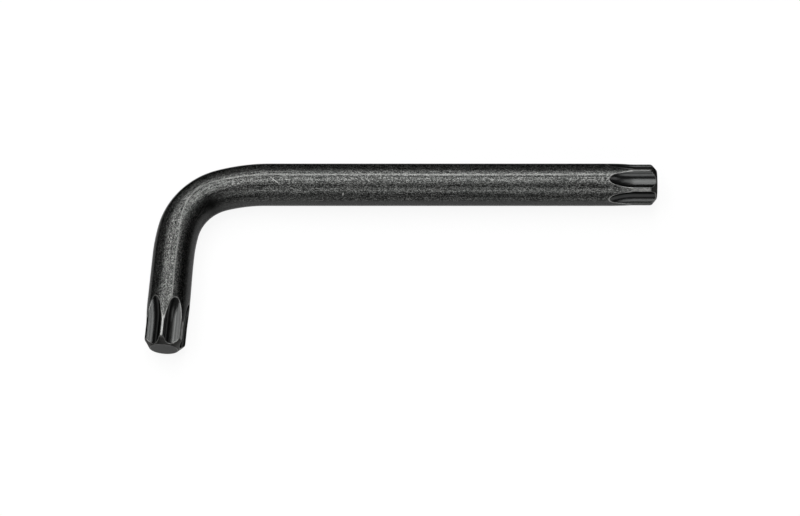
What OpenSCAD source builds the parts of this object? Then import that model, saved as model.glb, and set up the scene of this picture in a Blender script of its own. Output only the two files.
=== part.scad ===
// Star key: one bent bar with a six-lobed star milled into each end, lying flat.
// The long arm runs along +X, the short arm toward -Y, and +Z is up.
// The origin is at the middle of the key's outline, on the surface that it lies on.

/* [Star ends] */
// Width of the star over two opposite lobes, which is the bar's diameter
star_a = 8.83; // [8.2:0.01:9.4]
// Width of the star across two opposite flutes
star_b = 6.36; // [5.8:0.01:7.1]
// Radius of a lobe's rounding
lobe_r = 0.62; // [0.6:0.01:0.9]
// Width of the flat along a lobe's crest, where the bar's surface is left
crest_flat = 0.3; // [0.1:0.05:0.5]
// Length of the full star section, from the end face
star_len = 4.8; // [2.5:0.1:9]
// Radius of the curve along which a flute runs out to the bar's surface
runout_r = 13; // [9:0.5:30]
// Diameter of the flat end face inside the chamfer
tip_face_d = 5.8; // [4.5:0.02:6.3]
// Length of the long end's chamfer along the bar, at the lobes
long_chamfer_len = 1.2; // [0.5:0.05:2]
// Length of the short end's chamfer along the bar, at the lobes
short_chamfer_len = 1.5; // [0.5:0.05:2]

/* [Bar] */
// Length of the long arm, from the corner of the two arms' axes
long_len = 99.07; // [60:0.01:200]
// Length of the short arm, from the corner of the two arms' axes
short_len = 36.5; // [32:0.1:90]

/* [Bend] */
// Angle that the bar is bent through
bend_turn = 85.2; // [75:0.1:90]
// Radius of the bar's axis in the tight part of the bend
bend_r = 12.5; // [9:0.1:15]
// Radius of the bar's axis where the bend eases into the arms
ease_r = 36.9; // [20:0.1:45]
// Part of the bend that eases into the long arm
long_ease_angle = 15; // [5:1:20]
// Part of the bend that eases into the short arm
short_ease_angle = 8; // [4:1:14]
// How much the bar's radius draws in from one stage of the bend to the next
bend_draw = 0.03; // [0.02:0.005:0.06]

/* [Clocking] */
// Turn of a long end's lobe from straight up, toward the short arm's side
long_roll = 35; // [0:1:60]
// Turn of a short end's lobe from straight up, away from the long arm
short_roll = 8; // [0:1:60]

/* [Hidden] */
$fn = 96;
// How far cutting shapes reach past the bar
overrun = 0.5;
// How far each stage of the bend runs on inside the stage before it
run_on = 0.3;
// How far the flute's arc and the lobe's arc run into each other
arc_overlap = 0.003;
lobes = 6;
lobe_pitch = 360 / lobes;

bar_r = star_a / 2;
root_r = star_b / 2;
tip_face_r = tip_face_d / 2;
cut_r = bar_r + overrun;

// Star section: the lobe's circle passes through both edges of the crest's flat, and the flute's circle
// touches the root and the two lobes beside it.
crest_half = crest_flat / 2;
lobe_c = sqrt(bar_r ^ 2 - crest_half ^ 2) - sqrt(lobe_r ^ 2 - crest_half ^ 2);
lobe_ray = [cos(lobe_pitch / 2), sin(lobe_pitch / 2)];
lobe_center = lobe_c * lobe_ray;
flute_touch = lobe_r ^ 2 - lobe_c ^ 2 - root_r ^ 2 + 2 * root_r * lobe_center.x;
flute_r = flute_touch / (2 * (root_r - lobe_center.x - lobe_r));
flute_c = root_r + flute_r;
lobe_to_flute = [flute_c, 0] - lobe_center;
flute_edge = lobe_center + lobe_to_flute * lobe_r / norm(lobe_to_flute);
mouth_r = cut_r / lobe_ray.x;
// A point at radius r, on the side of a flute's cut that runs out through the crest's flat
function beside_crest(r) = r * lobe_ray + crest_half / 2 * [lobe_ray.y, -lobe_ray.x];
function mirrored(p) = [p.x, -p.y];

// Run-out: the flute's floor rises along an arc until it has left the bar.
runout_angle = acos(1 - (cut_r - root_r) / runout_r);
flute_depth = bar_r - root_r;
flute_len = star_len + sqrt(2 * runout_r * flute_depth - flute_depth ^ 2);

// Bend: three arcs, each from one heading to the next. A heading is the turn from the long arm's direction.
bend_radii = [ease_r, bend_r, ease_r];
bend_headings = [0, long_ease_angle, bend_turn - short_ease_angle, bend_turn];
// How many times the bar has drawn in by each arc, and how far the arc's two ends run on
bend_stages = [1, 2, 1];
bend_run_on = [[run_on, 0], [run_on, run_on], [0, run_on]];
function heading(h) = [-cos(h), -sin(h)];
function inward(h) = [sin(h), -cos(h)];
function arc_step(i) = bend_radii[i] * (inward(bend_headings[i]) - inward(bend_headings[i + 1]));
function bend_point(i) = i == 0 ? [0, 0] : bend_point(i - 1) + arc_step(i - 1);
bend_span = bend_point(len(bend_radii));
short_setback = -bend_span.y / sin(bend_turn);
long_setback = -bend_span.x + bend_span.y / tan(bend_turn);

// Outline of the whole key, measured from the corner of the two axes. Its left side is the short end's
// outermost lobe, or the bar where the flutes start.
short_end = short_len * heading(bend_turn);
lobe_sines = [for (i = [0:lobes - 1]) sin(short_roll + i * lobe_pitch)];
lobe_reach = min(bar_r, lobe_r + lobe_c * max(lobe_sines)) * sin(bend_turn);
bar_reach = bar_r * sin(bend_turn);
lobe_left = -(short_len - short_chamfer_len) * cos(bend_turn) - lobe_reach;
bar_left = -(short_len - flute_len) * cos(bend_turn) - bar_reach;
outline_left = min(lobe_left, bar_left);
outline_front = short_end.y - tip_face_r * cos(bend_turn);
corner = [-(outline_left + long_len) / 2, -(bar_r + outline_front) / 2, bar_r];

star_key();

// The whole key: the bent bar with chamfered ends, and the six flutes of each star.
module star_key() {
    color("#2b2c2c")
        translate(corner)
            difference() {
                chamfered_bar();
                at_long_end() flutes();
                at_short_end() flutes();
            }
}

// The bent bar with a chamfer on both ends.
module chamfered_bar() {
    difference() {
        bent_bar();
        at_long_end() chamfer_ring(long_chamfer_len);
        at_short_end() chamfer_ring(short_chamfer_len);
    }
}

// Round bar: the long arm, the three arcs of the bend and the short arm.
module bent_bar() {
    translate([long_setback, 0, 0])
        rotate([0, 90, 0])
            cylinder(h = long_len - long_setback, r = bar_r);
    for (i = [0:len(bend_radii) - 1])
        bend_arc(i);
    rotate([90, 0, bend_turn - 90])
        translate([0, 0, short_setback])
            cylinder(h = short_len - short_setback, r = bar_r);
}

// One arc of the bend, swept about its own center. Its ends run on inside the thicker bar beside it.
module bend_arc(i) {
    start = [long_setback, 0] + bend_point(i);
    center = start + bend_radii[i] * inward(bend_headings[i]);
    lead = bend_run_on[i] / bend_radii[i] * 180 / PI;
    turn = bend_headings[i + 1] - bend_headings[i];
    translate([center.x, center.y, 0])
        rotate([0, 0, 90 + bend_headings[i] - lead[0]])
            rotate_extrude(angle = lead[0] + turn + lead[1])
                translate([bend_radii[i], 0])
                    circle(r = bar_r - bend_stages[i] * bend_draw);
}

// Places children on the long end: their Z points out of the end face, and a lobe lies along their X.
module at_long_end() {
    translate([long_len, 0, 0])
        rotate([0, 90, 0])
            rotate([0, 0, 180 + long_roll])
                children();
}

// Places children on the short end, in the same way.
module at_short_end() {
    translate([short_end.x, short_end.y, 0])
        rotate([90, 0, bend_turn - 90])
            rotate([0, 0, 90 + short_roll])
                children();
}

// The flutes of one end, halfway between its lobes.
module flutes() {
    for (i = [0:lobes - 1])
        rotate([0, 0, (i + 0.5) * lobe_pitch])
            flute_cut();
}

// One flute: straight along the star's length, then rising out of the bar along an arc.
module flute_cut() {
    pivot = root_r + runout_r;
    translate([0, 0, -star_len])
        linear_extrude(height = star_len + overrun)
            flute_section();
    translate([pivot, 0, -star_len])
        rotate([-90, 0, 180])
            rotate_extrude(angle = runout_angle)
                translate([pivot, 0])
                    rotate(180)
                        flute_section();
}

// Section of a flute's cut: its round floor, opening between two lobes out to past the bar.
module flute_section() {
    difference() {
        union() {
            translate([flute_c, 0])
                circle(r = flute_r + arc_overlap);
            polygon([
                mirrored(flute_edge),
                mirrored(beside_crest(bar_r)),
                mirrored(beside_crest(mouth_r)),
                beside_crest(mouth_r),
                beside_crest(bar_r),
                flute_edge,
            ]);
        }
        for (side = [-1, 1])
            translate([lobe_center.x, side * lobe_center.y])
                circle(r = lobe_r);
    }
}

// Ring outside the cone of an end's chamfer.
module chamfer_ring(chamfer_len) {
    slope = chamfer_len / (bar_r - tip_face_r);
    rotate_extrude()
        polygon([
            [tip_face_r - overrun / slope, overrun],
            [cut_r, -(cut_r - tip_face_r) * slope],
            [cut_r, overrun],
        ]);
}
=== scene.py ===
"""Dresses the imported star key: one blackened bar, bent to an L, with a fluted star at each end.

Sizes are in millimetres unless a name says otherwise. Meshes go into the scene in metres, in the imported
model's frame.
"""

import logging
import math
from dataclasses import dataclass
from enum import Enum, IntEnum

import bpy
import numpy as np
from mathutils import Matrix, Vector


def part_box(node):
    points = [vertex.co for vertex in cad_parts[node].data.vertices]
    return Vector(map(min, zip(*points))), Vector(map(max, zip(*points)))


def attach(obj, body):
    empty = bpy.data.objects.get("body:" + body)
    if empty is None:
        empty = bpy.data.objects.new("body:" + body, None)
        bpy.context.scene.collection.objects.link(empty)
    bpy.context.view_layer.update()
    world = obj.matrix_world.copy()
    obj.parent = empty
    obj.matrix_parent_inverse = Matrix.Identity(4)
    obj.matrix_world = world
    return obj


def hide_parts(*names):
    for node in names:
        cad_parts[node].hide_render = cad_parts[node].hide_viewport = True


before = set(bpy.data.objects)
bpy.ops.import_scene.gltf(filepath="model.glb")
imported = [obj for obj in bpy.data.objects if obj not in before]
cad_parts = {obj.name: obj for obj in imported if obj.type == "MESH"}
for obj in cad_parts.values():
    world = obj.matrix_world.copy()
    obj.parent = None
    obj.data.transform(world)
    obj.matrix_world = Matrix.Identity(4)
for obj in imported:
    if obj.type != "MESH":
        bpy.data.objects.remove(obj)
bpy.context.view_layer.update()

MM = 0.001
NODE = "star_key"
BODY = "root"

log = logging.getLogger("star_key")

Colour = tuple[float, float, float]
Span = tuple[float, float]
Socket = bpy.types.NodeSocket
Sockets = bpy.types.bpy_prop_collection


class End(Enum):
    """The two ends of the bar."""

    LONG = "long"
    SHORT = "short"


class Mark(Enum):
    """What the mesh carries from vertex to vertex for its finish."""

    UNBENT = "unbent"
    FLUTE = "flute"
    CHAMFER = "chamfer"
    WEAR = "wear"


class Skin(IntEnum):
    """The finishes on the key's mesh, by material number."""

    BAR = 0
    FACE = 1
    FLUTE = 2


class Blend(Enum):
    """What a Mix node blends: its data type, the places of its two inputs and the place of its output."""

    VALUE = ("FLOAT", 2, 3, 0)
    COLOUR = ("RGBA", 6, 7, 2)


def rounded_min(a: np.ndarray, b: np.ndarray, width: float) -> np.ndarray:
    """Takes the smaller depth, less a quarter of the width where they meet, fading as a square over it."""
    near = np.clip(1 - np.abs(a - b) / width, 0, None)
    return np.minimum(a, b) - near**2 * width / 4


def ramp(values: np.ndarray, low: float, high: float) -> np.ndarray:
    """Eases from 0 at low to 1 at high, along the cubic 3t^2 - 2t^3."""
    t = np.clip((values - low) / (high - low), 0, 1)
    return t * t * (3 - 2 * t)


@dataclass(frozen=True)
class StarEnd:
    """A fluted end of the bar, in its own frame: z runs inward from the end face, a lobe lies at angle 0."""

    over_lobes: float = 8.83
    across_flutes: float = 6.36
    lobe_r: float = 0.62
    crest_flat: float = 0.3
    star_len: float = 4.8
    runout_r: float = 13.0
    face_d: float = 5.8
    chamfer_len: float = 1.2
    lobes: int = 6
    flute_edge_round: float = 0.06
    shoulder_round: float = 0.35
    rim_round: float = 0.16
    off_axis: float = 0.1
    off_angle: float = 10.0
    crest_bare: float = 0.25
    runout_bare: float = 0.9
    shoulder_bare: float = 0.7
    rim_bare: float = 0.8
    edge_wear: float = 0.05
    crest_fade: Span = (0.3, 0.8)
    runout_fade: Span = (0.2, 0.7)
    ray_depth: float = 3.0
    runout_middle: float = 7.6
    reach: float = 11.0
    first_tilt: float = 0.1
    rim_tilts: Span = (-0.04, 0.05)
    shoulder_tilts: Span = (-0.065, 0.06)
    face_gap: float = 0.02
    chamfer_gap: float = 0.015
    side_gap: float = 0.04
    fan_counts: tuple[int, ...] = (4, 9, 14, 9, 4)
    ring_counts: tuple[int, ...] = (4, 18, 42)
    halvings: int = 40

    @property
    def bar_r(self) -> float:
        """Radius of the bar, which the lobes reach."""
        return self.over_lobes / 2

    @property
    def root_r(self) -> float:
        """Radius that the flutes' floors reach."""
        return self.across_flutes / 2

    @property
    def face_r(self) -> float:
        """Radius of the flat face inside the chamfer."""
        return self.face_d / 2

    @property
    def pitch(self) -> float:
        """Angle from one lobe to the next, in radians."""
        return 2 * math.pi / self.lobes

    @property
    def lobe_center(self) -> np.ndarray:
        """Center of a lobe's circle, seen from a flute's middle line.

        The circle passes through both edges of the crest's flat.

        Returns:
            The center's x and y.
        """
        half = self.crest_flat / 2
        out = math.sqrt(self.bar_r**2 - half**2) - math.sqrt(self.lobe_r**2 - half**2)
        return out * np.array([math.cos(self.pitch / 2), math.sin(self.pitch / 2)])

    @property
    def flute_r(self) -> float:
        """Radius of a flute's floor, which touches the root and the two lobes beside it.

        Returns:
            The radius.
        """
        x, y = self.lobe_center
        touch = self.lobe_r**2 - (x * x + y * y) - self.root_r**2 + 2 * self.root_r * x
        return touch / (2 * (self.root_r - x - self.lobe_r))

    def flute_depth(self, points: np.ndarray) -> np.ndarray:
        """Works out how deep points lie below the flutes.

        The star lies a little off the bar's axis, so points are shifted back first, and the crests' flats
        come out wider on one side. Points are then folded into half a sector beside one flute. Past the
        star's length the flute's section swings outward about a pivot, so the points are swung back. The
        section is the flute's circle up to the line through both centers, and the lobe's circle beyond it.

        Args:
            points: Points in the end's frame, with x, y and z on the last axis.

        Returns:
            Depths below the flutes, positive in the metal.
        """
        off = math.radians(self.off_angle)
        x = points[..., 0] - self.off_axis * math.cos(off)
        y = points[..., 1] - self.off_axis * math.sin(off)
        fold = np.abs(np.arctan2(y, x) % self.pitch - self.pitch / 2)
        r = np.hypot(x, y)
        pivot = self.root_r + self.runout_r
        past = np.clip(points[..., 2] - self.star_len, 0, None)
        u = pivot - np.hypot(pivot - r * np.cos(fold), past)
        v = r * np.sin(fold)
        lobe_x, lobe_y = self.lobe_center
        flute_x = self.root_r + self.flute_r
        side = (lobe_x - flute_x) * v - lobe_y * (u - flute_x)
        floor = np.hypot(u - flute_x, v) - self.flute_r
        lobe = self.lobe_r - np.hypot(u - lobe_x, v - lobe_y)
        return np.where(side > 0, floor, lobe)

    def depths(self, points: np.ndarray) -> np.ndarray:
        """Stacks the depths below the bar, the chamfer's cone, the flutes and the end face.

        Args:
            points: Points in the end's frame, with x, y and z on the last axis.

        Returns:
            An array whose first axis is bar, chamfer, flutes and face.
        """
        r, z = np.hypot(points[..., 0], points[..., 1]), points[..., 2]
        step = self.bar_r - self.face_r
        cone = (step * z - self.chamfer_len * (r - self.face_r)) / math.hypot(step, self.chamfer_len)
        return np.stack([self.bar_r - r, cone, self.flute_depth(points), z])

    def rounded_depth(self, points: np.ndarray) -> np.ndarray:
        """Joins the four depths with rounded edges.

        Args:
            points: Points in the end's frame, with x, y and z on the last axis.

        Returns:
            Depths below the finished surface.
        """
        bar, cone, flute, face = self.depths(points)
        turned = rounded_min(bar, cone, self.shoulder_round)
        fluted = rounded_min(turned, flute, self.flute_edge_round)
        return rounded_min(fluted, face, self.rim_round)

    def rays(self) -> tuple[np.ndarray, np.ndarray]:
        """Lists the rays that meet the surface: a fan over the tip, then one for each step along the bar.

        The fan starts on the axis, at ray_depth, and tilts from the end face's middle out to square with
        the axis. Rays lie closest at the rim, over the chamfer and along the run-out.

        Returns:
            The depth at which each ray starts, and its tilt from the axis in radians.
        """
        rim = math.atan2(self.face_r, self.ray_depth)
        shoulder = math.atan2(self.bar_r, self.ray_depth - self.chamfer_len)
        rim_start, rim_end = (rim + step for step in self.rim_tilts)
        shoulder_start, shoulder_end = (shoulder + step for step in self.shoulder_tilts)
        fans = (
            (self.first_tilt, rim_start - self.face_gap),
            (rim_start, rim_end),
            (rim_end + self.chamfer_gap, shoulder_start - self.chamfer_gap),
            (shoulder_start, shoulder_end),
            (shoulder_end + self.side_gap, math.pi / 2),
        )
        tilt = np.concatenate([np.linspace(*fan, count) for fan, count in zip(fans, self.fan_counts)])
        stops = (self.ray_depth, self.star_len, self.runout_middle, self.reach)
        spans = zip(stops, stops[1:], self.ring_counts)
        along = np.concatenate([np.linspace(a, b, count)[1:] for a, b, count in spans])
        depth = np.concatenate([np.full(len(tilt), self.ray_depth), along])
        return depth, np.concatenate([tilt, np.full(len(along), math.pi / 2)])

    def surface(self, angles: np.ndarray) -> np.ndarray:
        """Finds where every ray meets the finished surface, by halving the span that holds that point.

        Args:
            angles: Angles round the bar from a lobe, in radians.

        Returns:
            Points as rays x angles x 3, in the end's frame.
        """
        depth, tilt = self.rays()
        start, lean = depth[:, None], tilt[:, None]

        def along_rays(length: np.ndarray) -> np.ndarray:
            """Gives the points at a length along every ray."""
            across, inward = length * np.sin(lean), start - length * np.cos(lean)
            return np.stack([across * np.cos(angles), across * np.sin(angles), inward], axis=-1)

        near = np.zeros((len(depth), len(angles)))
        far = np.full_like(near, 2 * self.over_lobes)
        for _ in range(self.halvings):
            middle = (near + far) / 2
            inside = self.rounded_depth(along_rays(middle)) > 0
            near = np.where(inside, middle, near)
            far = np.where(inside, far, middle)
        return along_rays((near + far) / 2)

    def worn(self, depth: np.ndarray) -> np.ndarray:
        """Gives a bell curve over the depth below an edge."""
        return np.exp(-((depth / self.edge_wear) ** 2))

    def marks(self, points: np.ndarray) -> dict[Mark, np.ndarray]:
        """Works out the flute, chamfer and wear of points on the surface.

        A point belongs to the surface that it lies least below. Wear is even over the flat along a lobe's
        crest. Along the edges it falls off as a bell curve: where the flutes run out with the depth below
        the bar or the flute, and round the chamfer with the depth below the second nearest surface.

        Args:
            points: Points in the end's frame, with x, y and z on the last axis.

        Returns:
            One array of values from 0 to 1 for each mark.
        """
        bar, cone, flute, face = self.depths(points)
        half = self.flute_edge_round / 2
        past = points[..., 2] - self.star_len
        side = np.minimum(bar, flute)
        on_bar = ramp(np.minimum(np.minimum(cone, flute), face) - bar, -half, half)
        crest = self.crest_bare * on_bar * (1 - ramp(past, *self.crest_fade))
        crease = self.runout_bare * self.worn(np.maximum(bar, flute)) * ramp(past, *self.runout_fade)
        shoulder = self.shoulder_bare * self.worn(np.maximum(cone, side))
        rim = self.rim_bare * self.worn(np.maximum(cone, face))
        return {
            Mark.FLUTE: ramp(np.minimum(bar, cone) - flute, -half, half),
            Mark.CHAMFER: ramp(np.minimum(side, face) - cone, -half, half),
            Mark.WEAR: np.maximum.reduce([crest, crease, shoulder, rim]),
        }


@dataclass(frozen=True)
class BentPath:
    """The bar's middle line, from the long end through the bend to the short end."""

    long_len: float = 99.07
    short_len: float = 36.5
    bend_turn: float = 85.2
    bend_r: float = 12.5
    ease_r: float = 36.9
    long_ease: float = 15.0
    short_ease: float = 8.0

    @property
    def headings(self) -> np.ndarray:
        """Turn from the long arm's direction where the three arcs start and end, in radians."""
        turn = self.bend_turn
        return np.radians([0, self.long_ease, turn - self.short_ease, turn])

    @property
    def radii(self) -> np.ndarray:
        """Radii of the three arcs."""
        return np.array([self.ease_r, self.bend_r, self.ease_r])

    @property
    def setbacks(self) -> Span:
        """How far from the corner of the two axes the bend starts and ends.

        Returns:
            The setbacks along the long arm and along the short arm.
        """
        along = float(np.sum(self.radii * np.diff(np.sin(self.headings))))
        aside = float(np.sum(self.radii * -np.diff(np.cos(self.headings))))
        turn = self.headings[-1]
        return along - aside / math.tan(turn), aside / math.sin(turn)

    @property
    def lengths(self) -> np.ndarray:
        """Lengths of the five stretches: the long arm, three arcs and the short arm.

        Returns:
            The lengths, from the long end.
        """
        long_setback, short_setback = self.setbacks
        arcs = self.radii * np.diff(self.headings)
        return np.concatenate([[self.long_len - long_setback], arcs, [self.short_len - short_setback]])

    @property
    def total(self) -> float:
        """Length of the unbent bar."""
        return float(np.sum(self.lengths))

    @property
    def bend_ends(self) -> Span:
        """Lengths from the long end to where the bend starts and ends."""
        return self.lengths[0], float(np.sum(self.lengths[:-1]))

    def at(self, run: np.ndarray) -> tuple[np.ndarray, np.ndarray]:
        """Follows the middle line.

        On each stretch the heading grows in step with the length, and the place is the heading's integral:
        straight on for an arm, and a difference of sines and cosines over the curvature for an arc.

        Args:
            run: Lengths from the long end.

        Returns:
            Places from the corner of the two axes, with x and y on the last axis, and headings in radians.
        """
        lengths = self.lengths
        starts = np.concatenate([[0.0], np.cumsum(lengths)[:-1]])
        curve = np.concatenate([[0.0], 1 / self.radii, [0.0]])
        first = np.concatenate([[0.0], self.headings])

        def step(stretch: np.ndarray, length: np.ndarray) -> np.ndarray:
            """Moves from the start of a stretch along it.

            Args:
                stretch: Numbers of the stretches.
                length: Lengths along them.

            Returns:
                Steps, with x and y on the last axis.
            """
            h0, k = first[stretch], curve[stretch]
            h1 = h0 + k * length
            bent = np.where(k > 0, k, 1.0)
            x = np.where(k > 0, -(np.sin(h1) - np.sin(h0)) / bent, -length * np.cos(h0))
            y = np.where(k > 0, (np.cos(h1) - np.cos(h0)) / bent, -length * np.sin(h0))
            return np.stack([x, y], axis=-1)

        steps = np.cumsum(step(np.arange(len(lengths)), lengths), axis=0)
        origins = np.array([self.long_len, 0.0]) + np.concatenate([[[0.0, 0.0]], steps[:-1]])
        stretch = np.clip(np.searchsorted(starts, run, side="right") - 1, 0, len(lengths) - 1)
        length = run - starts[stretch]
        return origins[stretch] + step(stretch, length), first[stretch] + curve[stretch] * length

    def narrowing(self, run: np.ndarray) -> np.ndarray:
        """Gives 0 on the arms, rising as a half sine to 1 in the middle of the bend."""
        start, end = self.bend_ends
        return np.sin(math.pi * np.clip((run - start) / (end - start), 0, 1))

    def after_bend(self, run: np.ndarray, past: float, spread: float) -> np.ndarray:
        """Gives a bell curve with its top past the bend, which falls to a 1/e share over the spread."""
        return np.exp(-(((run - self.bend_ends[1] - past) / spread) ** 2))


@dataclass
class KeySkin:
    """The whole surface of the key, as rings of points carried along the bent middle line."""

    name: str = "key_skin"
    long_star: StarEnd = StarEnd(chamfer_len=1.2)
    short_star: StarEnd = StarEnd(chamfer_len=1.5, off_angle=85.0, crest_bare=0.45, runout_bare=0.65)
    path: BentPath = BentPath()
    long_roll: float = 35.0
    short_roll: float = -8.0
    columns: int = 400
    thin_by: int = 4
    crowding: float = 0.4
    arm_rings: int = 9
    bend_rings: int = 84
    bend_narrowing: float = 0.03
    inner_flattening: float = 0.044
    flattening_past: float = 1.6
    flattening_spread: float = 6.4
    least_fluted: float = 0.5

    @property
    def angles(self) -> np.ndarray:
        """Angles of the columns, from straight up toward the inside of the bend, in radians."""
        return np.arange(self.columns) * 2 * math.pi / self.columns

    @property
    def corner(self) -> np.ndarray:
        """Corner of the two arms' axes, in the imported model's frame.

        Returns:
            The corner's x, y and z.
        """
        low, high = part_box(NODE)
        r = self.long_star.bar_r
        return np.array([high.x / MM - self.path.long_len, high.y / MM - r, low.z / MM + r])

    def end(self, end: End) -> tuple[np.ndarray, dict[Mark, np.ndarray]]:
        """Shapes one end of the bar, on the unbent bar.

        The columns crowd toward the lobes' crests, where the flutes' edges need them.

        Args:
            end: Which end.

        Returns:
            Points as rings x columns x 3, with the length from the long end, the place toward the inside
            of the bend and the height; and the marks of every point. Rings run from the tip inward.
        """
        star = self.long_star if end is End.LONG else self.short_star
        roll = math.radians(self.long_roll if end is End.LONG else self.short_roll)
        from_lobe = self.angles - roll
        local = star.surface(from_lobe - self.crowding * np.sin(star.lobes * from_lobe) / star.lobes)
        x, y, z = local[..., 0], local[..., 1], local[..., 2]
        inward = np.cos(roll) * y + np.sin(roll) * x
        up = np.cos(roll) * x - np.sin(roll) * y
        run = z if end is End.LONG else self.path.total - z
        return np.stack([run, inward, up], axis=-1), star.marks(local)

    def middle(self) -> np.ndarray:
        """Spaces plain rings between the two ends, closest in the bend.

        Returns:
            Points as rings x fewer columns x 3, in the same order as an end's.
        """
        start, end = self.path.bend_ends
        short_reach = self.path.total - self.short_star.reach
        run = np.concatenate(
            [
                np.linspace(self.long_star.reach, start, self.arm_rings + 1)[1:-1],
                np.linspace(start, end, self.bend_rings),
                np.linspace(end, short_reach, self.arm_rings + 1)[1:-1],
            ]
        )
        angles = self.angles[:: self.thin_by]
        r = self.long_star.bar_r
        places = np.broadcast_arrays(run[:, None], r * np.sin(angles), r * np.cos(angles))
        return np.stack(places, axis=-1)

    def bend(self, unbent: np.ndarray) -> np.ndarray:
        """Carries points of the unbent bar along the middle line, and narrows the bar in the bend.

        The bend draws both sides in alike. Just past it the inner side alone is flattened a little.

        Args:
            unbent: Points with length, place toward the inside and height on the last axis.

        Returns:
            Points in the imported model's frame.
        """
        run, width = unbent[:, 0], unbent[:, 1]
        place, heading = self.path.at(run)
        inside = np.stack([np.sin(heading), -np.cos(heading)], axis=-1)
        drawn = self.bend_narrowing * self.path.narrowing(run)
        past_bend = self.path.after_bend(run, self.flattening_past, self.flattening_spread)
        pressed = self.inner_flattening * past_bend * (width > 0)
        flat = place + (width * (1 - drawn - pressed))[:, None] * inside
        return self.corner + np.concatenate([flat, unbent[:, 2:]], axis=-1)

    @staticmethod
    def joint(first: np.ndarray, second: np.ndarray) -> np.ndarray:
        """Numbers the corners of the faces between two rings, one of which may have fewer points.

        Args:
            first: Point numbers of the ring nearer the long end.
            second: Point numbers of the next ring.

        Returns:
            One row of point numbers for each face.
        """
        if len(first) < len(second):
            return KeySkin.joint(second, first)[:, ::-1]
        step = len(first) // len(second)
        edge = [np.roll(first, -i)[::step] for i in range(step + 1)]
        return np.stack([*edge, np.roll(second, -1), second], axis=-1)

    def build(self) -> bpy.types.Object:
        """Joins the two ends and the middle into one closed mesh, with its marks.

        A pole counts as a ring on which one point repeats, and its faces leave out the repeat.

        Returns:
            The key's object.
        """
        long_points, long_marks = self.end(End.LONG)
        short_points, short_marks = self.end(End.SHORT)
        middle = self.middle()
        poles = np.array([[0.0, 0.0, 0.0], [self.path.total, 0.0, 0.0]])
        grids = (poles[:1, None], long_points, middle, short_points[::-1], poles[1:, None])
        unbent = np.concatenate([grid.reshape(-1, 3) for grid in grids])
        rings: list[np.ndarray] = []
        counted = 0
        for grid in grids:
            numbers = counted + np.arange(grid[..., 0].size).reshape(grid.shape[:2])
            rings.extend(numbers)
            counted += numbers.size
        long_pole, *rings, short_pole = rings
        faces = [
            self.joint(np.repeat(long_pole, self.columns), rings[0])[:, 1:],
            *(self.joint(ring, after) for ring, after in zip(rings, rings[1:])),
            self.joint(rings[-1], np.repeat(short_pole, self.columns))[:, :-1],
        ]
        mesh = bpy.data.meshes.new(self.name)
        corners = [face for block in faces for face in block.tolist()]
        mesh.from_pydata((self.bend(unbent) * MM).tolist(), [], corners)
        mesh.validate()
        plain, pole = np.zeros(middle[..., 0].size), [0.0]
        for mark in (Mark.FLUTE, Mark.CHAMFER, Mark.WEAR):
            ends = long_marks[mark].ravel(), short_marks[mark][::-1].ravel()
            values = np.concatenate([pole, ends[0], plain, ends[1], pole])
            mesh.attributes.new(mark.value, "FLOAT", "POINT").data.foreach_set("value", values)
        places = mesh.attributes.new(Mark.UNBENT.value, "FLOAT_VECTOR", "POINT")
        places.data.foreach_set("vector", unbent.ravel())
        mesh.polygons.foreach_set("use_smooth", np.ones(len(mesh.polygons), dtype=bool))
        self.set_skins(mesh)
        self.turn_outward(mesh)
        piece = bpy.data.objects.new(self.name, mesh)
        bpy.context.scene.collection.objects.link(piece)
        return piece

    def set_skins(self, mesh: bpy.types.Mesh) -> None:
        """Gives the flat end faces and the flutes materials of their own.

        A flat face ends where the rim's rounding has lowered its edge by a quarter of the rounding's width.

        Args:
            mesh: The key's mesh, with its marks.
        """
        unbent = np.zeros(len(mesh.vertices) * 3)
        mesh.attributes[Mark.UNBENT.value].data.foreach_get("vector", unbent)
        fluted = np.zeros(len(mesh.vertices))
        mesh.attributes[Mark.FLUTE.value].data.foreach_get("value", fluted)
        run = unbent.reshape(-1, 3)[:, 0]
        rim = self.long_star.rim_round / 4
        flat = (run < rim) | (run > self.path.total - rim)
        corners = np.zeros(len(mesh.loops), dtype=np.int32)
        mesh.loops.foreach_get("vertex_index", corners)
        firsts = np.zeros(len(mesh.polygons), dtype=np.int32)
        mesh.polygons.foreach_get("loop_start", firsts)
        on_face = np.logical_and.reduceat(flat[corners], firsts)
        in_flute = np.logical_and.reduceat(fluted[corners] > self.least_fluted, firsts)
        skin = np.where(on_face, Skin.FACE, np.where(in_flute, Skin.FLUTE, Skin.BAR))
        mesh.polygons.foreach_set("material_index", skin.astype(np.int32))

    def turn_outward(self, mesh: bpy.types.Mesh) -> None:
        """Turns all faces round if the mesh's volume comes out negative.

        The volume is a sixth of the sum, over all triangles, of the triple product of their corners.

        Args:
            mesh: The key's mesh.
        """
        mesh.calc_loop_triangles()
        corners = np.zeros(len(mesh.loop_triangles) * 3, dtype=np.int32)
        mesh.loop_triangles.foreach_get("vertices", corners)
        points = np.zeros(len(mesh.vertices) * 3)
        mesh.vertices.foreach_get("co", points)
        a, b, c = points.reshape(-1, 3)[corners.reshape(-1, 3)].transpose(1, 0, 2)
        volume = float(np.sum(a * np.cross(b, c))) / 6
        if volume < 0:
            mesh.flip_normals()
        log.info("%s: %d triangles, %.1f mm3", self.name, len(corners) // 3, abs(volume) / MM**3)


@dataclass(frozen=True)
class Noise:
    """A noise over the unbent bar: cells in a millimetre along and across it, finer layers, span kept."""

    along: float
    across: float
    layers: float
    low: float
    high: float


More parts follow.
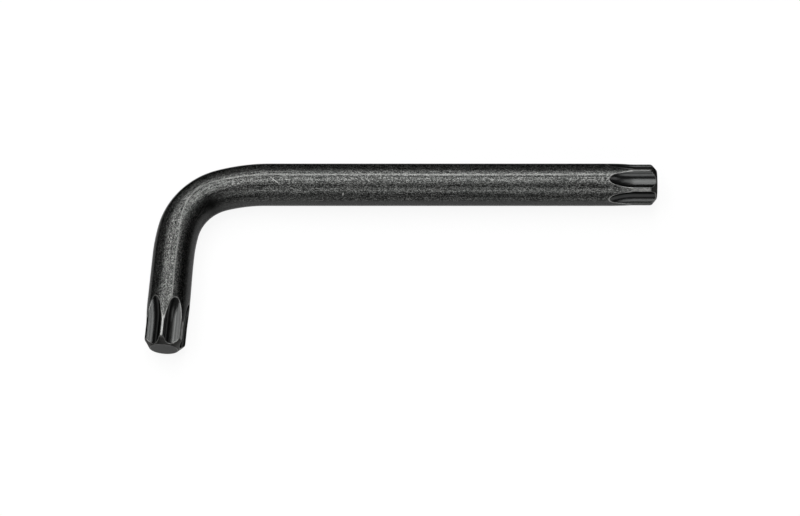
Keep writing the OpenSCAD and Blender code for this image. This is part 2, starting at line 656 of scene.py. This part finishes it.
@dataclass(frozen=True)
class DieAndLightLine:
    """A line along the bar: a line of dents left by the drawing die, a painted highlight line or a painted
    shade line.

    It has a name, an angle from the bar's top on the long arm, in the bend and on the short arm, a half
    width, its breaks, its least strength where it breaks, and its strength in the bend.
    """

    name: str
    long_angle: float
    bend_angle: float
    short_angle: float
    half_width: float
    breaks: Noise
    least: float
    in_bend: float


@dataclass(frozen=True)
class Scratch:
    """A straight scratch: its middle along and round the bar, its length, lean, half width and bareness."""

    run: float
    angle: float
    length: float
    lean: float
    half_width: float
    bare: float


class Sheet:
    """A node tree with short calls for placing and joining its nodes."""

    layer_share: float = 0.6

    def __init__(self, tree: bpy.types.NodeTree) -> None:
        """Keeps the node tree of a material, the world or a group, and empties it."""
        self.tree = tree
        tree.nodes.clear()

    def node(self, kind: str, **settings: object) -> bpy.types.Node:
        """Places a node.

        Args:
            kind: The node's type name.
            **settings: Values for the node's own properties.

        Returns:
            The node.
        """
        made = self.tree.nodes.new(kind)
        for name, value in settings.items():
            setattr(made, name, value)
        return made

    def join(self, source: Socket, target: Socket) -> None:
        """Links an output to an input."""
        self.tree.links.new(source, target)

    def feed(self, target: Socket, value: object) -> None:
        """Links an output to an input, or sets the input to a value or a colour.

        Args:
            target: The input.
            value: An output, a plain value or a colour.
        """
        if isinstance(value, Socket):
            self.join(value, target)
        else:
            target.default_value = (*value, 1.0) if target.type == "RGBA" else value

    def math(self, operation: str, a: object, b: object = 0.0) -> Socket:
        """Places a Math node.

        Args:
            operation: Name of the operation.
            a: First value or output.
            b: Second value or output.

        Returns:
            The result's output.
        """
        made = self.node("ShaderNodeMath", operation=operation)
        self.feed(made.inputs[0], a)
        self.feed(made.inputs[1], b)
        return made.outputs[0]

    def times(self, value: object, *others: object) -> Socket:
        """Multiplies values or outputs.

        Args:
            value: First value or output.
            *others: What it is multiplied by, one after another.

        Returns:
            The product's output.
        """
        for other in others:
            value = self.math("MULTIPLY", value, other)
        return value

    def blend(self, factor: object, a: object, b: object, kind: Blend = Blend.VALUE) -> Socket:
        """Places a Mix node.

        Args:
            factor: Share of the second value.
            a: First value, colour or output.
            b: Second value, colour or output.
            kind: Whether it blends plain values or colours.

        Returns:
            The result's output.
        """
        data_type, first, second, result = kind.value
        made = self.node("ShaderNodeMix", data_type=data_type, clamp_factor=True)
        for place, value in (("Factor", factor), (first, a), (second, b)):
            self.feed(made.inputs[place], value)
        return made.outputs[result]

    def mix(self, factor: object, a: object, b: object) -> Socket:
        """Places a Mix node for colours."""
        return self.blend(factor, a, b, Blend.COLOUR)

    def spread(self, value: object, low: float, high: float) -> Socket:
        """Stretches the span from low to high to 0 to 1, with eased ends.

        Args:
            value: The value's output.
            low: Where 0 lies.
            high: Where 1 lies.

        Returns:
            The stretched value's output.
        """
        made = self.node("ShaderNodeMapRange", interpolation_type="SMOOTHSTEP")
        self.feed(made.inputs["Value"], value)
        made.inputs["From Min"].default_value = low
        made.inputs["From Max"].default_value = high
        return made.outputs["Result"]

    def texture(self, kind: str, place: Socket, noise: Noise) -> bpy.types.Node:
        """Places a texture that is stretched along the bar.

        Args:
            kind: The texture node's type name.
            place: Output with the unbent coordinates.
            noise: The cells in a millimetre.

        Returns:
            The texture's node.
        """
        scaled = self.node("ShaderNodeMapping", vector_type="POINT")
        self.join(place, scaled.inputs["Vector"])
        scaled.inputs["Scale"].default_value = (noise.along, noise.across, noise.across)
        made = self.node(kind)
        self.join(scaled.outputs["Vector"], made.inputs["Vector"])
        made.inputs["Scale"].default_value = 1.0
        return made

    def noise(self, place: Socket, noise: Noise) -> Socket:
        """Places a Noise Texture and spreads its values.

        Args:
            place: Output with the unbent coordinates.
            noise: The noise's cells and span.

        Returns:
            The noise's value, from 0 to 1.
        """
        made = self.texture("ShaderNodeTexNoise", place, noise)
        made.inputs["Detail"].default_value = noise.layers
        made.inputs["Roughness"].default_value = self.layer_share
        return self.spread(made.outputs["Fac"], noise.low, noise.high)

    def cells(self, place: Socket, noise: Noise) -> Socket:
        """Places a Voronoi Texture that gives every crystal of the oxide its own random value.

        Args:
            place: Output with the unbent coordinates.
            noise: The crystals in a millimetre, and the span of values that is kept.

        Returns:
            The crystals' values, from 0 to 1.
        """
        made = self.texture("ShaderNodeTexVoronoi", place, noise)
        parts = self.node("ShaderNodeSeparateColor")
        self.join(made.outputs["Color"], parts.inputs["Color"])
        return self.spread(parts.outputs["Red"], noise.low, noise.high)

    def bell(self, value: object, middle: object, half_width: float) -> Socket:
        """Gives 1 where a value equals the middle, easing to 0 at the half width on both sides."""
        away = self.math("ABSOLUTE", self.math("SUBTRACT", value, middle))
        return self.spread(away, half_width, 0.0)

    def mark(self, mark: Mark) -> Socket:
        """Reads one of the mesh's marks, as a vector for the unbent place and a value for the others."""
        made = self.node("ShaderNodeAttribute", attribute_name=mark.value)
        return made.outputs["Vector" if mark is Mark.UNBENT else "Fac"]

    def metal(
        self, colour: Socket, rough: Socket, height: Socket, depth: float, tint: Colour
    ) -> bpy.types.Node:
        """Places a metal shader with a bump, and joins it to the material's output.

        Args:
            colour: The reflecting colour.
            rough: The roughness.
            height: Height of the bump.
            depth: Depth of the bump in millimetres.
            tint: Colour of reflections at a grazing angle.

        Returns:
            The shader.
        """
        bump = self.node("ShaderNodeBump")
        bump.inputs["Distance"].default_value = depth * MM
        self.join(height, bump.inputs["Height"])
        shader = self.node("ShaderNodeBsdfPrincipled")
        shader.inputs["Metallic"].default_value = 1.0
        shader.inputs["Specular Tint"].default_value = (*tint, 1.0)
        self.join(colour, shader.inputs["Base Color"])
        self.join(rough, shader.inputs["Roughness"])
        self.join(bump.outputs["Normal"], shader.inputs["Normal"])
        self.join(shader.outputs["BSDF"], self.node("ShaderNodeOutputMaterial").inputs["Surface"])
        return shader


@dataclass
class Effects:
    """The node groups that the key's finishes share, each built once. Angles are in degrees."""

    bar_r: float = StarEnd.over_lobes / 2
    bend_span: Span = (82.0, 108.0)
    long_lines: Noise = Noise(0.028, 2.3, 2.0, 0.3, 0.7)
    short_lines: Noise = Noise(0.5, 6.5, 1.0, 0.42, 0.62)
    short_lines_share: float = 0.4
    speckle: Noise = Noise(5.8, 8.4, 0.0, 0.45, 1.0)
    bumps: Noise = Noise(5.0, 7.5, 1.0, 0.3, 0.7)
    patches: Noise = Noise(0.09, 0.22, 2.0, 0.35, 0.65)
    wander: Noise = Noise(0.04, 0.0, 1.0, 0.3, 0.7)
    wander_width: float = 0.15
    wear_breaks: Noise = Noise(1.6, 1.6, 2.0, 0.3, 0.6)
    least_wear: float = 0.55
    # The first line is a painted highlight along the highlight's upper edge, the second a painted shade line
    # inside the highlight, the third a real line of die dents.
    die_and_light_lines: tuple[DieAndLightLine, ...] = (
        DieAndLightLine("Bright", -9.0, -17.0, 10.1, 0.22, Noise(0.6, 0.0, 2.0, 0.35, 0.65), 0.4, 0.7),
        DieAndLightLine("PaintedShadeLine", -2.2, -9.0, -4.5, 0.25, Noise(0.6, 0.0, 2.0, 0.35, 0.65), 0.6, 0.3),
        DieAndLightLine("Dots", 36.0, 60.0, 80.0, 0.14, Noise(1.6, 0.0, 0.0, 0.5, 0.6), 0.0, 0.0),
    )
    # The next spans, turn and share place a painted sheen: a painted reflection along the bar's sides.
    sheen_inside: Span = (62.0, 80.0)
    sheen_outside: Span = (52.0, 60.0)
    sheen_turn: float = 16.0
    sheen_in_bend: float = 0.5
    sheen_ends: Span = (150.0, 105.0)
    # The next spans, turn and shares place painted shade: darker oxide outside and in the bend, standing in
    # for the dark reflections there.
    shaded_outside: Span = (36.0, 52.0)
    shaded_turn: float = 8.0
    shaded_inside: Span = (6.0, 40.0)
    shaded_ends: Span = (105.0, 75.0)
    outside_long_share: float = 0.3
    outside_short_share: float = 0.72
    inside_short_share: float = 0.6
    scratches: tuple[Scratch, ...] = (
        Scratch(79.2, 12.6, 5.0, 142.0, 0.09, 0.6),
        Scratch(76.0, 30.0, 2.6, 150.0, 0.1, 0.25),
        Scratch(65.4, 48.5, 1.0, 80.0, 0.26, 1.0),
        Scratch(60.6, 25.0, 1.8, 35.0, 0.07, 0.2),
        Scratch(31.5, 36.0, 2.2, -28.0, 0.07, 0.2),
    )

    def __post_init__(self) -> None:
        """Builds the three groups."""
        self.drawing = self.make_lines_and_light()
        self.mottle = self.make_mottle()
        self.wear = self.make_wear()

    @staticmethod
    def group(
        name: str, outputs: tuple[str, ...], *values: str
    ) -> tuple[bpy.types.NodeTree, Sheet, Sockets, Sockets]:
        """Makes an empty group that takes the unbent place.

        Args:
            name: The group's name.
            outputs: Names of the values that it puts out.
            *values: Names of the values that it takes besides.

        Returns:
            The group, a sheet for its nodes, the sockets that it takes and the sockets that it puts out.
        """
        tree = bpy.data.node_groups.new(name, "ShaderNodeTree")
        tree.interface.new_socket("Unbent", in_out="INPUT", socket_type="NodeSocketVector")
        for label in values:
            tree.interface.new_socket(label, in_out="INPUT", socket_type="NodeSocketFloat")
        for label in outputs:
            tree.interface.new_socket(label, in_out="OUTPUT", socket_type="NodeSocketFloat")
        sheet = Sheet(tree)
        return tree, sheet, sheet.node("NodeGroupInput").outputs, sheet.node("NodeGroupOutput").inputs

    def make_lines_and_light(self) -> bpy.types.NodeTree:
        """Makes what drawing and use leave along the bar, and painted light: fine lines all round, die
        lines, painted highlight and shade lines, painted sheen, painted shade and scratches.

        The place round the bar is the angle from its top times its radius. Each line, the die's dots and the
        painted ones alike, is a bell curve over that place. Its middle shifts through the bend, where the
        line fades, and wanders slowly.

        Returns:
            The group.
        """
        names = (line.name for line in self.die_and_light_lines)
        outputs = ("Lines", "Straight", "PaintedSheen", "Shaded", *names, "Scratches")
        tree, sheet, given, out = self.group("drawing_lines_and_painted_light", outputs)
        place = given["Unbent"]
        parts = sheet.node("ShaderNodeSeparateXYZ")
        sheet.join(place, parts.inputs["Vector"])
        run = parts.outputs["X"]
        angle = sheet.math("ARCTAN2", parts.outputs["Y"], parts.outputs["Z"])
        round_bar = sheet.times(angle, self.bar_r)
        bend = sheet.spread(run, *self.bend_span)
        straight = sheet.math("ABSOLUTE", sheet.math("SUBTRACT", sheet.times(bend, 2.0), 1.0))
        short_part = sheet.blend(straight, 1.0, self.short_lines_share)
        long_lines, short_lines = (sheet.noise(place, n) for n in (self.long_lines, self.short_lines))
        # Painted sheen along the sides and painted shade outside and in the bend.
        painted_sheen, shaded = self.sides(sheet, angle, bend, straight)
        sheet.join(sheet.blend(short_part, long_lines, short_lines), out["Lines"])
        sheet.join(straight, out["Straight"])
        sheet.join(painted_sheen, out["PaintedSheen"])
        sheet.join(shaded, out["Shaded"])
        wander = sheet.times(sheet.noise(place, self.wander), self.wander_width)
        # The die's dots, a painted highlight line and a painted shade line.
        for line in self.die_and_light_lines:
            degrees = (line.long_angle, line.bend_angle, line.short_angle)
            on_long, in_bend, on_short = (math.radians(a) * self.bar_r for a in degrees)
            on_arms = sheet.blend(bend, on_long, on_short)
            middle = sheet.math("ADD", sheet.blend(straight, in_bend, on_arms), wander)
            broken = sheet.blend(sheet.noise(place, line.breaks), line.least, 1.0)
            kept = sheet.blend(straight, line.in_bend, 1.0)
            strength = sheet.times(sheet.bell(round_bar, middle, line.half_width), kept, broken)
            sheet.join(strength, out[line.name])
        total: object = 0.0
        for scratch in self.scratches:
            total = sheet.math("ADD", total, self.scratched(sheet, run, round_bar, scratch))
        sheet.join(total, out["Scratches"])
        return tree

    def scratched(self, sheet: Sheet, run: Socket, round_bar: Socket, scratch: Scratch) -> Socket:
        """Makes one scratch, as the product of two bell curves, along and across its own direction.

        Args:
            sheet: The group's sheet.
            run: Length from the long end.
            round_bar: Place round the bar.
            scratch: The scratch.

        Returns:
            How bare the scratch leaves the steel.
        """
        lean = math.radians(scratch.lean)
        x = sheet.math("SUBTRACT", run, scratch.run)
        y = sheet.math("SUBTRACT", round_bar, math.radians(scratch.angle) * self.bar_r)
        cos, sin = math.cos(lean), math.sin(lean)
        along = sheet.math("ADD", sheet.times(x, cos), sheet.times(y, sin))
        across = sheet.math("SUBTRACT", sheet.times(y, cos), sheet.times(x, sin))
        length = sheet.bell(along, 0.0, scratch.length / 2)
        return sheet.times(length, sheet.bell(across, 0.0, scratch.half_width), scratch.bare)

    def sides(self, sheet: Sheet, angle: Socket, bend: Socket, straight: Socket) -> tuple[Socket, Socket]:
        """Makes painted light round the bar: a painted sheen along the sides, and painted shade outside and
        in the bend.

        Both fade out before the underside, so that no seam is left there.

        Args:
            sheet: The group's sheet.
            angle: Angle from the bar's top, toward the inside of the bend.
            bend: How far the place is from the long arm to the short arm.
            straight: How far the place is from the middle of the bend.

        Returns:
            The painted sheen's share and the painted shade's share.
        """

        def span(value: object, degrees: Span) -> Socket:
            """Stretches a span of angles."""
            return sheet.spread(value, *(math.radians(a) for a in degrees))

        outside = sheet.times(angle, -1.0)
        from_top = sheet.math("ABSOLUTE", angle)
        curved = sheet.math("SUBTRACT", 1.0, straight)
        on_long = sheet.math("SUBTRACT", 1.0, bend)
        # Painted sheen: lighter along the inner side, and on the short arm along its outer side too.
        turned_in = sheet.math("ADD", angle, sheet.times(bend, math.radians(self.sheen_turn)))
        outer_sheen = sheet.times(span(outside, self.sheen_outside), bend)
        sheen_mask = sheet.math("MAXIMUM", span(turned_in, self.sheen_inside), outer_sheen)
        kept = sheet.blend(straight, self.sheen_in_bend, 1.0)
        # Painted shade: darker outside, and inside through the bend and along the short arm.
        turned_out = sheet.math("ADD", outside, sheet.times(on_long, math.radians(self.shaded_turn)))
        outer_share = sheet.blend(bend, self.outside_long_share, self.outside_short_share)
        outer_shade = sheet.times(span(turned_out, self.shaded_outside), outer_share)
        inner_share = sheet.math("MAXIMUM", curved, sheet.times(bend, self.inside_short_share))
        inner_shade = sheet.times(span(angle, self.shaded_inside), inner_share)
        shade = sheet.math("MAXIMUM", outer_shade, inner_shade)
        painted_sheen = sheet.times(sheen_mask, kept, span(from_top, self.sheen_ends))
        return painted_sheen, sheet.times(shade, span(from_top, self.shaded_ends))

    def make_mottle(self) -> bpy.types.NodeTree:
        """Makes the oxide's grain: light and dark crystals, fine bumps and broad patches of colour.

        Returns:
            The group.
        """
        tree, sheet, given, out = self.group("oxide_mottle", ("Speckle", "Bumps", "Patches"))
        place = given["Unbent"]
        sheet.join(sheet.cells(place, self.speckle), out["Speckle"])
        sheet.join(sheet.noise(place, self.bumps), out["Bumps"])
        sheet.join(sheet.noise(place, self.patches), out["Patches"])
        return tree

    def make_wear(self) -> bpy.types.NodeTree:
        """Makes the bare metal along edges, broken up by the grain.

        Returns:
            The group.
        """
        tree, sheet, given, out = self.group("edge_wear", ("Bare",), "Edge")
        left = sheet.blend(sheet.noise(given["Unbent"], self.wear_breaks), self.least_wear, 1.0)
        sheet.join(sheet.times(given["Edge"], left), out["Bare"])
        return tree

    @staticmethod
    def use(sheet: Sheet, tree: bpy.types.NodeTree, **marks: Mark) -> Sockets:
        """Places a group in a material, fed with the unbent place.

        Args:
            sheet: The material's sheet.
            tree: The group.
            **marks: Marks that feed the group besides, by input name.

        Returns:
            What the group puts out.
        """
        made = sheet.node("ShaderNodeGroup", node_tree=tree)
        for name, mark in {"Unbent": Mark.UNBENT, **marks}.items():
            sheet.join(sheet.mark(mark), made.inputs[name])
        return made.outputs

    def bare(self, sheet: Sheet) -> Socket:
        """Places the edge wear in a material, and gives the bare share."""
        return self.use(sheet, self.wear, Edge=Mark.WEAR)["Bare"]


@dataclass(frozen=True)
class Coat:
    """Oxide or steel on one kind of surface: its reflecting colour and its roughness."""

    colour: Colour
    roughness: float


BARE_STEEL = Coat((0.42, 0.42, 0.41), 0.5)


@dataclass(frozen=True)
class Finish:
    """A finish of the key, which becomes one material."""

    name: str

    def build(self, effects: Effects) -> bpy.types.Material:
        """Makes the material and dresses it.

        Args:
            effects: The shared node groups.

        Returns:
            The material.
        """
        made = bpy.data.materials.new(self.name)
        made.use_nodes = True
        self.dress(Sheet(made.node_tree), effects)
        return made

    def dress(self, sheet: Sheet, effects: Effects) -> None:
        """Places the finish's nodes, which each finish gives for itself."""
        raise NotImplementedError


@dataclass(frozen=True)
class BlackenedBar(Finish):
    """Black oxide over drawn bar with bare metal along the edges, a painted sheen along its sides, painted
    shade outside and in the bend, and painted highlight and shade lines.

    Each share says how far a mark covers the oxide under it.
    """

    name: str = "blackened_bar"
    bar: Coat = Coat((0.0048, 0.005, 0.0048), 0.32)
    bright_bar: Coat = Coat((0.16, 0.162, 0.157), 0.3)
    flute: Coat = Coat((0.041, 0.042, 0.0415), 0.24)
    chamfer: Coat = Coat((0.033, 0.033, 0.032), 0.32)
    bare: Coat = BARE_STEEL
    patch: Colour = (0.04, 0.045, 0.043)
    # Painted shade colour, outside and in the bend.
    painted_shade: Colour = (0.008, 0.0082, 0.008)
    # Painted sheen colour along the sides.
    painted_sheen: Colour = (0.033, 0.0335, 0.033)
    # Painted shade line inside the highlight.
    painted_shade_line: Colour = (0.0096, 0.0096, 0.0096)
    # Painted highlight line, also used for the die's real dots.
    dots_and_painted_highlight: Colour = (0.16, 0.162, 0.157)
    lines_in_bend: float = 0.45
    lines_on_arms: float = 0.2
    patch_share: float = 0.15
    # Shares of the painted sheen and of the painted shade line.
    sheen_share: float = 0.85
    shade_share: float = 0.8
    dot_share: float = 0.5
    line_share: float = 0.75
    # Clear coat over the painted sheen, strengthening its reflections.
    sheen_coat_share: float = 0.42
    sheen_coat_roughness: float = 0.32
    flute_grain: float = 0.2
    grain_depth: float = 0.01
    grazing_tint: Colour = (0.26, 0.26, 0.26)

    def dress(self, sheet: Sheet, effects: Effects) -> None:
        """Covers the oxide with one mark after another, painted light among them, and adds the clear coat
        that strengthens the painted sheen.

        Args:
            sheet: The material's sheet.
            effects: The shared node groups.
        """
        flute, chamfer = sheet.mark(Mark.FLUTE), sheet.mark(Mark.CHAMFER)
        drawing = effects.use(sheet, effects.drawing)
        mottle = effects.use(sheet, effects.mottle)
        wear = effects.bare(sheet)
        line_part = sheet.blend(drawing["Straight"], self.lines_in_bend, self.lines_on_arms)
        light = sheet.blend(line_part, mottle["Speckle"], drawing["Lines"])
        # The painted highlight line joins the die's real dots.
        dots_and_highlight = sheet.math("MAXIMUM", drawing["Bright"], sheet.times(drawing["Dots"], self.dot_share))
        colour = sheet.mix(light, self.bar.colour, self.bright_bar.colour)
        for cover, over in (
            (sheet.times(mottle["Patches"], self.patch_share), self.patch),
            # Painted shade outside and in the bend.
            (drawing["Shaded"], self.painted_shade),
            # Painted sheen along the sides.
            (sheet.times(drawing["PaintedSheen"], self.sheen_share), self.painted_sheen),
            # Painted shade line inside the highlight.
            (sheet.times(drawing["PaintedShadeLine"], self.shade_share), self.painted_shade_line),
            # Painted highlight line and the die's dots.
            (sheet.times(dots_and_highlight, self.line_share), self.dots_and_painted_highlight),
            (drawing["Scratches"], self.bare.colour),
            (flute, self.flute.colour),
            (chamfer, self.chamfer.colour),
            (wear, self.bare.colour),
        ):
            colour = sheet.mix(cover, colour, over)
        rough = sheet.blend(light, self.bar.roughness, self.bright_bar.roughness)
        for cover, coat in ((flute, self.flute), (chamfer, self.chamfer), (wear, self.bare)):
            rough = sheet.blend(cover, rough, coat.roughness)
        grain = sheet.blend(flute, 1.0, self.flute_grain)
        height = sheet.times(sheet.math("ADD", drawing["Lines"], mottle["Bumps"]), grain)
        shader = sheet.metal(colour, rough, height, self.grain_depth, self.grazing_tint)
        # Clear coat over the painted sheen.
        shader.inputs["Coat Roughness"].default_value = self.sheen_coat_roughness
        sheet.join(sheet.times(drawing["PaintedSheen"], self.sheen_coat_share), shader.inputs["Coat Weight"])


@dataclass(frozen=True)
class MilledFlute(Finish):
    """Black oxide over a milled flute: smooth, a little uneven in tone, with bare metal along its edges."""

    name: str = "milled_flute"
    dark: Coat = Coat((0.038, 0.039, 0.0385), 0.25)
    light: Coat = Coat((0.046, 0.047, 0.0465), 0.23)
    bare: Coat = BARE_STEEL
    grain_depth: float = 0.002
    grazing_tint: Colour = (0.0, 0.0, 0.0)

    def dress(self, sheet: Sheet, effects: Effects) -> None:
        """Varies the oxide along the milling marks, and bares the edges.

        Args:
            sheet: The material's sheet.
            effects: The shared node groups.
        """
        lines = effects.use(sheet, effects.drawing)["Lines"]
        bumps = effects.use(sheet, effects.mottle)["Bumps"]
        wear = effects.bare(sheet)
        colour = sheet.mix(wear, sheet.mix(lines, self.dark.colour, self.light.colour), self.bare.colour)
        rough = sheet.blend(lines, self.dark.roughness, self.light.roughness)
        rough = sheet.blend(wear, rough, self.bare.roughness)
        sheet.metal(colour, rough, sheet.math("ADD", lines, bumps), self.grain_depth, self.grazing_tint)


@dataclass(frozen=True)
class GroundFace(Finish):
    """Black oxide over a ground end face: smoother than the bar, with a light rim."""

    name: str = "ground_face"
    face: Coat = Coat((0.055, 0.056, 0.055), 0.3)
    dull_face: Coat = Coat((0.042, 0.043, 0.043), 0.36)
    rim: Colour = BARE_STEEL.colour
    grain_depth: float = 0.003
    grazing_tint: Colour = (0.57, 0.57, 0.57)

    def dress(self, sheet: Sheet, effects: Effects) -> None:
        """Dulls the oxide in patches, and bares the rim.

        Args:
            sheet: The material's sheet.
            effects: The shared node groups.
        """
        mottle = effects.use(sheet, effects.mottle)
        dulled = sheet.times(mottle["Speckle"], mottle["Patches"])
        oxide = sheet.mix(dulled, self.face.colour, self.dull_face.colour)
        colour = sheet.mix(effects.bare(sheet), oxide, self.rim)
        rough = sheet.blend(mottle["Speckle"], self.face.roughness, self.dull_face.roughness)
        sheet.metal(colour, rough, mottle["Bumps"], self.grain_depth, self.grazing_tint)


@dataclass(frozen=True)
class Softbox:
    """A soft lamp whose width runs along X. It leans back from straight up and may stand aside."""

    name: str
    lean_back: float
    aside_m: float
    width_m: float
    height_m: float
    radiance: float
    distance_m: float = 0.9

    def build(self) -> None:
        """Places the lamp."""
        lean = math.radians(self.lean_back)
        lamp = bpy.data.lights.new(self.name, "AREA")
        lamp.shape = "RECTANGLE"
        lamp.size, lamp.size_y = self.width_m, self.height_m
        lamp.energy = self.radiance * math.pi * self.width_m * self.height_m
        made = bpy.data.objects.new(self.name, lamp)
        made.location = (self.aside_m, self.distance_m * math.sin(lean), self.distance_m * math.cos(lean))
        made.rotation_euler = (-lean, 0.0, 0.0)
        made.visible_camera = False
        bpy.context.scene.collection.objects.link(made)


@dataclass(frozen=True)
class Studio:
    """The pale floor, the lamps and the dim room round them."""

    floor_half_m: float = 2.5
    floor_drop_m: float = 0.00005
    floor_steps: int = 8
    floor_colour: Colour = (0.8, 0.8, 0.8)
    glow_share: float = 0.9
    room: float = 0.05
    lamps: tuple[Softbox, ...] = (
        Softbox("back_softbox", 25.5, 0.03, 0.18, 1.06, 7.3),
        Softbox("near_left_softbox", 25.5, -0.18, 0.24, 1.06, 1.9),
        Softbox("far_left_softbox", 25.5, -0.514, 0.428, 1.06, 4.5),
        Softbox("right_wing", 18.0, 0.27, 0.3, 0.585, 1.9),
        Softbox("far_right_softbox", 0.0, 0.84, 0.4, 0.5, 1.7),
        Softbox("left_panel", -15.0, -0.464, 0.528, 0.317, 4.6),
        Softbox("front_strip", -50.5, 0.0, 0.9, 0.4, 2.8),
    )

    def build_floor(self) -> None:
        """Builds the floor as an even grid, just under the key."""
        wide = self.floor_steps + 1
        steps = np.linspace(-self.floor_half_m, self.floor_half_m, wide)
        x, y = np.meshgrid(steps, steps)
        points = np.stack([x, y, np.full_like(x, -self.floor_drop_m)], axis=-1).reshape(-1, 3)
        row = np.arange(self.floor_steps)[:, None] * wide + np.arange(self.floor_steps)
        faces = np.stack([row, row + 1, row + wide + 1, row + wide], axis=-1).reshape(-1, 4)
        mesh = bpy.data.meshes.new("floor")
        mesh.from_pydata(points.tolist(), [], faces.tolist())
        mesh.materials.append(self.build_floor_material())
        floor = bpy.data.objects.new("floor", mesh)
        bpy.context.scene.collection.objects.link(floor)

    def build_floor_material(self) -> bpy.types.Material:
        """Builds the floor's finish: pale and matt, partly glowing white to the camera and in reflections.

        Returns:
            The material.
        """
        made = bpy.data.materials.new("pale_floor")
        made.use_nodes = True
        sheet = Sheet(made.node_tree)
        ray = sheet.node("ShaderNodeLightPath").outputs
        seen = sheet.math("MAXIMUM", ray["Is Camera Ray"], ray["Is Glossy Ray"])
        seen = sheet.math("MAXIMUM", seen, ray["Is Transmission Ray"])
        matt = sheet.node("ShaderNodeBsdfDiffuse")
        matt.inputs["Color"].default_value = (*self.floor_colour, 1.0)
        glow = sheet.node("ShaderNodeEmission")
        glow.inputs["Color"].default_value = (1.0, 1.0, 1.0, 1.0)
        both = sheet.node("ShaderNodeMixShader")
        sheet.join(sheet.times(seen, self.glow_share), both.inputs["Fac"])
        sheet.join(matt.outputs["BSDF"], both.inputs[1])
        sheet.join(glow.outputs["Emission"], both.inputs[2])
        sheet.join(both.outputs["Shader"], sheet.node("ShaderNodeOutputMaterial").inputs["Surface"])
        return made

    def build_room(self) -> None:
        """Sets the dim even light of the room."""
        world = bpy.data.worlds.new("dim_room")
        world.use_nodes = True
        sheet = Sheet(world.node_tree)
        even = sheet.node("ShaderNodeBackground")
        even.inputs["Color"].default_value = (self.room, self.room, self.room, 1.0)
        sheet.join(even.outputs["Background"], sheet.node("ShaderNodeOutputWorld").inputs["Surface"])
        bpy.context.scene.world = world

    def build(self) -> None:
        """Builds the floor, the room and every lamp."""
        self.build_floor()
        self.build_room()
        for lamp in self.lamps:
            lamp.build()
            log.info("lamp %s", lamp.name)


@dataclass(frozen=True)
class PhotoCamera:
    """The photograph's camera: a long lens that looks down on the key.

    The corner of the two arms' axes falls on a known pixel.
    """

    image_width: float = 800.0
    image_height: float = 516.0
    lens: float = 200.0
    sensor: float = 36.0
    tilt: float = 20.5
    pixels_per_mm: float = 4.7961
    corner_x: float = 181.65
    corner_y: float = 184.8
    clip_m: Span = (0.01, 20.0)

    def build(self, corner: Vector) -> None:
        """Places the camera so that the corner of the two axes falls on its pixel.

        Args:
            corner: The corner of the two axes, in millimetres.
        """
        tilt = math.radians(self.tilt)
        right = Vector((1, 0, 0))
        up = Vector((0, math.cos(tilt), math.sin(tilt)))
        back = Vector((0, -math.sin(tilt), math.cos(tilt)))
        distance = self.lens / self.sensor * self.image_width / self.pixels_per_mm
        aside = (self.image_width / 2 - self.corner_x) / self.pixels_per_mm
        below = (self.image_height / 2 - self.corner_y) / self.pixels_per_mm
        place = corner + right * aside - up * below + back * distance
        data = bpy.data.cameras.new("photo_camera")
        data.lens, data.sensor_width = self.lens, self.sensor
        data.clip_start, data.clip_end = self.clip_m
        camera = bpy.data.objects.new("photo_camera", data)
        turn = Matrix((right, up, back)).transposed().to_4x4()
        camera.matrix_world = Matrix.Translation(place * MM) @ turn
        bpy.context.scene.collection.objects.link(camera)
        bpy.context.scene.camera = camera


def main() -> None:
    """Builds the key, its finishes, the studio and the camera, in that order."""
    logging.basicConfig(level=logging.INFO, format="%(name)s %(message)s")
    bpy.context.scene.view_settings.view_transform = "Standard"
    skin = KeySkin()
    key = skin.build()
    effects = Effects()
    finishes = {Skin.BAR: BlackenedBar(), Skin.FACE: GroundFace(), Skin.FLUTE: MilledFlute()}
    for number in sorted(finishes):
        key.data.materials.append(finishes[number].build(effects))
        log.info("finish %s", finishes[number].name)
    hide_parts(NODE)
    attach(key, BODY)
    log.info("piece %s rides on %s", key.name, BODY)
    Studio().build()
    PhotoCamera().build(Vector(skin.corner))


if __name__ == "__main__":
    main()
